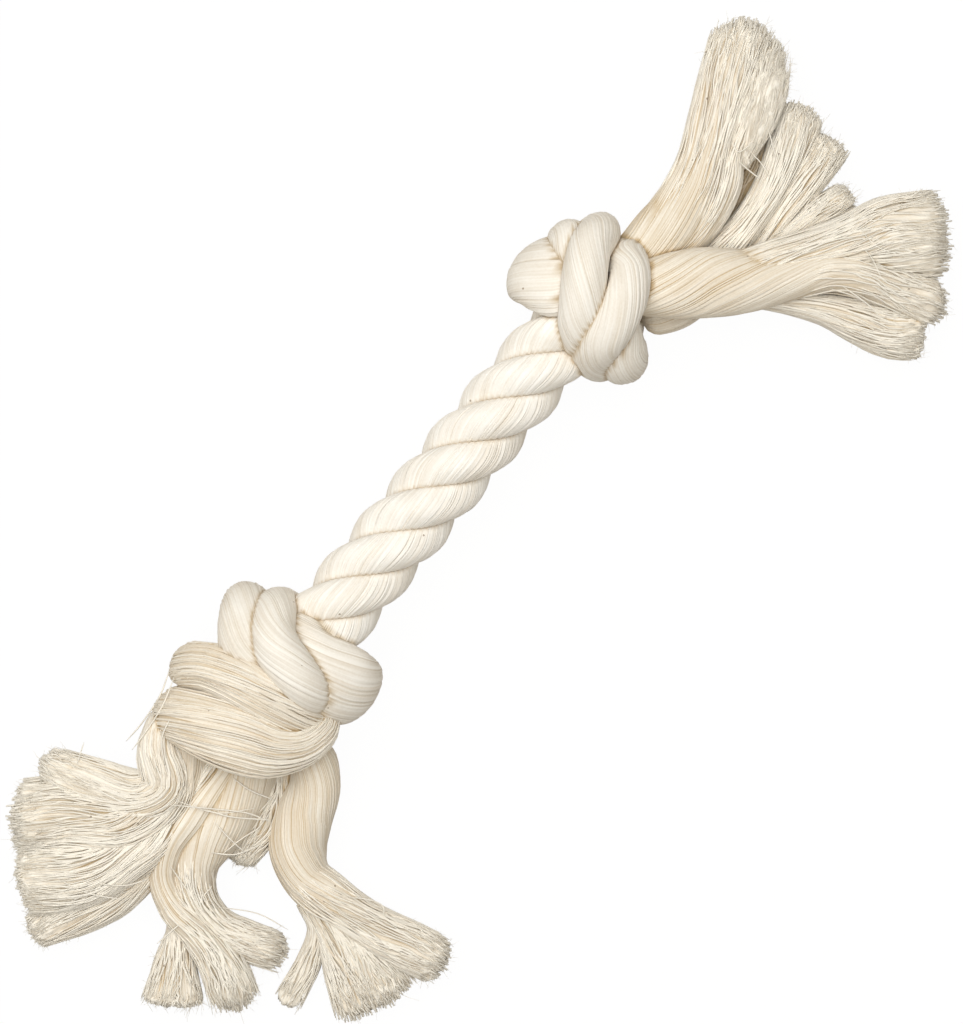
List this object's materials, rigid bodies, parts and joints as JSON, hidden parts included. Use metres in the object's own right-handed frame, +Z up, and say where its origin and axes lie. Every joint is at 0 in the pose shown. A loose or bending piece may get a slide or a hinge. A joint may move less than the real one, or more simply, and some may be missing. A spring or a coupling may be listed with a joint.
{
  "type": "rope dog toy",
  "caption": "Tug toy of laid cotton rope for a dog, knotted near each end, with the strand ends frayed into loose yarn tassels.",
  "frame": {"origin": "middle of the footprint, on the plane that the toy lies on", "axes": "+X along the rope from the tail knot to the head knot, +Y across it, +Z up from the ground"},
  "size_m": [0.301, 0.1118, 0.0366],
  "materials": {
    "strand_cotton": "matte cream cotton yarn, laid in smooth strands",
    "knot_cotton": "matte cream cotton yarn, pulled tight",
    "frayed_cotton": "matte cream cotton yarn, loose and frayed"
  },
  "bodies": {
    "tail_half": {"rope_tail_strand_a": "strand_cotton", "rope_tail_strand_b": "strand_cotton", "rope_tail_strand_c": "strand_cotton", "rope_middle_strand_a": "strand_cotton", "rope_middle_strand_b": "strand_cotton", "rope_middle_strand_c": "strand_cotton", "tail_knot_turn_a": "knot_cotton", "tail_knot_turn_b": "knot_cotton", "tail_knot_bight": "knot_cotton", "tail_knot_yarn_wrap_a": "frayed_cotton", "tail_knot_yarn_wrap_b": "frayed_cotton", "tail_knot_core": "knot_cotton", "tail_tassel_left_root": "frayed_cotton", "tail_tassel_middle_root": "frayed_cotton", "tail_tassel_right_root": "frayed_cotton"},
    "head_half": {"rope_head_strand_a": "strand_cotton", "rope_head_strand_b": "strand_cotton", "rope_head_strand_c": "strand_cotton", "head_knot_turn_a": "knot_cotton", "head_knot_turn_b": "knot_cotton", "head_knot_turn_c": "knot_cotton", "head_knot_bight": "knot_cotton", "head_knot_core": "knot_cotton", "head_tassel_left_root": "frayed_cotton", "head_tassel_middle_root": "frayed_cotton", "head_tassel_right_root": "frayed_cotton"},
    "head_left_tassel": {"head_tassel_left": "frayed_cotton"},
    "head_middle_tassel": {"head_tassel_middle": "frayed_cotton"},
    "head_right_tassel": {"head_tassel_right": "frayed_cotton"},
    "tail_left_tassel": {"tail_tassel_left": "frayed_cotton"},
    "tail_middle_tassel": {"tail_tassel_middle": "frayed_cotton"},
    "tail_right_tassel": {"tail_tassel_right": "frayed_cotton", "tail_tassel_right_wisp": "frayed_cotton"}
  },
  "joints": [
    {"name": "rope_bend", "type": "hinge", "parent": "tail_half", "child": "head_half", "pos_m": [0.00548, 0.02355, 0.0177], "axis": [0, 0, 1], "range_deg": [-70, 70], "stiffness_Nm_per_rad": 0.1, "deforming": ["rope_middle_strand_a", "rope_middle_strand_b", "rope_middle_strand_c"]},
    {"name": "head_right_tassel_swing", "type": "hinge", "parent": "head_half", "child": "head_right_tassel", "pos_m": [0.08398, 0.00805, 0.0217], "axis": [-0.717, -0.6971, 0], "range_deg": [-35, 50], "deforming": ["head_tassel_right_root"]},
    {"name": "head_left_tassel_swing", "type": "hinge", "parent": "head_half", "child": "head_left_tassel", "pos_m": [0.08948, 0.02055, 0.0162], "axis": [-0.0995, -0.995, 0], "range_deg": [-40, 50], "deforming": ["head_tassel_left_root"]},
    {"name": "head_middle_tassel_swing", "type": "hinge", "parent": "head_half", "child": "head_middle_tassel", "pos_m": [0.10048, 0.00605, 0.008], "axis": [0.04, -0.9992, 0], "range_deg": [-35, 30], "deforming": ["head_tassel_middle_root"]},
    {"name": "tail_left_tassel_swing", "type": "hinge", "parent": "tail_half", "child": "tail_left_tassel", "pos_m": [-0.09302, 0.03475, 0.0169], "axis": [0, 1, 0], "range_deg": [-40, 50], "deforming": ["tail_tassel_left_root"]},
    {"name": "tail_right_tassel_swing", "type": "hinge", "parent": "tail_half", "child": "tail_right_tassel", "pos_m": [-0.08002, 0.00035, 0.0122], "axis": [-0.6, 0.8, 0], "range_deg": [-40, 50], "deforming": ["tail_tassel_right_root"]},
    {"name": "tail_middle_tassel_swing", "type": "hinge", "parent": "tail_half", "child": "tail_middle_tassel", "pos_m": [-0.09102, 0.01435, 0.0132], "axis": [-0.1961, 0.9806, 0], "range_deg": [-40, 40], "deforming": ["tail_tassel_middle_root"]}
  ]
}
